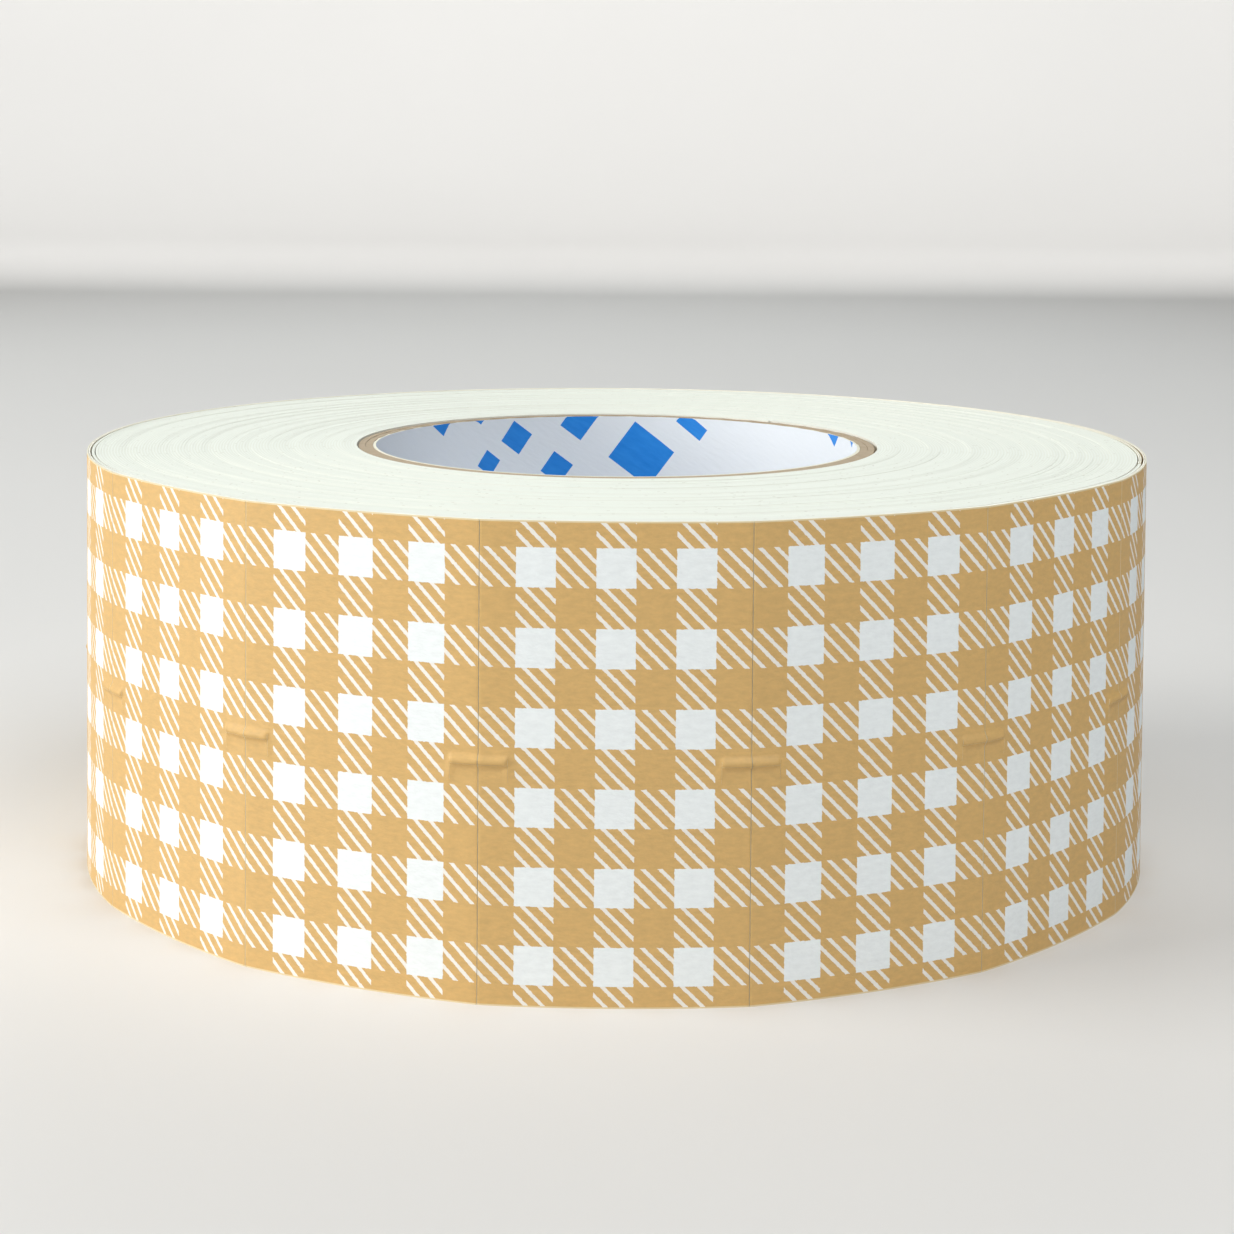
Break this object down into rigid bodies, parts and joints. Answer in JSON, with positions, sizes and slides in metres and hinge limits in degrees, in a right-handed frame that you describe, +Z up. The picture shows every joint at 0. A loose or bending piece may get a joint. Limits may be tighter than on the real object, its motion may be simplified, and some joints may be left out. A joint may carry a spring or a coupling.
{
  "type": "label tape roll",
  "caption": "Roll of check-printed self-adhesive labels on a liner, wound on a paper core, with a tail that unrolls at the die cuts and a leading label that peels.",
  "frame": {"origin": "on the roll's axis, at the lower side face that it lies on", "axes": "+Z up along the roll's axis; -Y towards the front; the free end of the web is at the back"},
  "size_m": [0.0553, 0.0555, 0.0215],
  "materials": {
    "label_print": "uncoated, printed with a tan check",
    "liner": "glassine, slight gloss",
    "lap_edges": "cut paper edges",
    "core_white": "printed white paper",
    "core_brown": "kraft paper"
  },
  "bodies": {
    "root": {"core_inner_ply": "core_white", "core_middle_ply": "core_brown", "core_outer_ply": "core_brown", "wound_laps": "lap_edges", "outer_lap_liner": "liner", "label_06": "label_print", "label_07": "label_print", "label_08": "label_print", "label_09": "label_print", "label_10": "label_print", "label_11": "label_print", "label_12": "label_print", "label_13": "label_print", "label_14": "label_print", "label_15": "label_print", "label_16": "label_print", "label_17": "label_print", "label_18": "label_print", "label_19": "label_print", "label_20": "label_print"},
    "tail_5": {"tail_liner_5": "liner", "label_05": "label_print"},
    "tail_4": {"tail_liner_4": "liner", "label_04": "label_print"},
    "tail_3": {"tail_liner_3": "liner", "label_03": "label_print"},
    "tail_2": {"tail_liner_2": "liner", "label_02": "label_print"},
    "tail_1": {"tail_liner_1": "liner"},
    "leading_label": {"label_01": "label_print"}
  },
  "joints": [
    {"name": "unroll_5", "type": "hinge", "parent": "root", "child": "tail_5", "pos_m": [0.02754, -0.00183, 0.01075], "axis": [0, 0, -1], "range_deg": [0, 24.7]},
    {"name": "unroll_4", "type": "hinge", "parent": "tail_5", "child": "tail_4", "pos_m": [0.02579, 0.00986, 0.01075], "axis": [0, 0, -1], "range_deg": [0, 24.7]},
    {"name": "unroll_3", "type": "hinge", "parent": "tail_4", "child": "tail_3", "pos_m": [0.01931, 0.01976, 0.01075], "axis": [0, 0, -1], "range_deg": [0, 24.7]},
    {"name": "unroll_2", "type": "hinge", "parent": "tail_3", "child": "tail_2", "pos_m": [0.00928, 0.02605, 0.01075], "axis": [0, 0, -1], "range_deg": [0, 24.7]},
    {"name": "unroll_1", "type": "hinge", "parent": "tail_2", "child": "tail_1", "pos_m": [-0.00247, 0.02755, 0.01075], "axis": [0, 0, -1], "range_deg": [0, 24.7]},
    {"name": "peel", "type": "hinge", "parent": "tail_1", "child": "leading_label", "pos_m": [-0.00254, 0.02767, 0.01075], "axis": [0, 0, -1], "range_deg": [0, 120]}
  ],
  "couplings": [
    {"joint": "unroll_4", "follows": "unroll_5", "ratio": 1},
    {"joint": "unroll_3", "follows": "unroll_5", "ratio": 1},
    {"joint": "unroll_2", "follows": "unroll_5", "ratio": 1},
    {"joint": "unroll_1", "follows": "unroll_5", "ratio": 1}
  ]
}
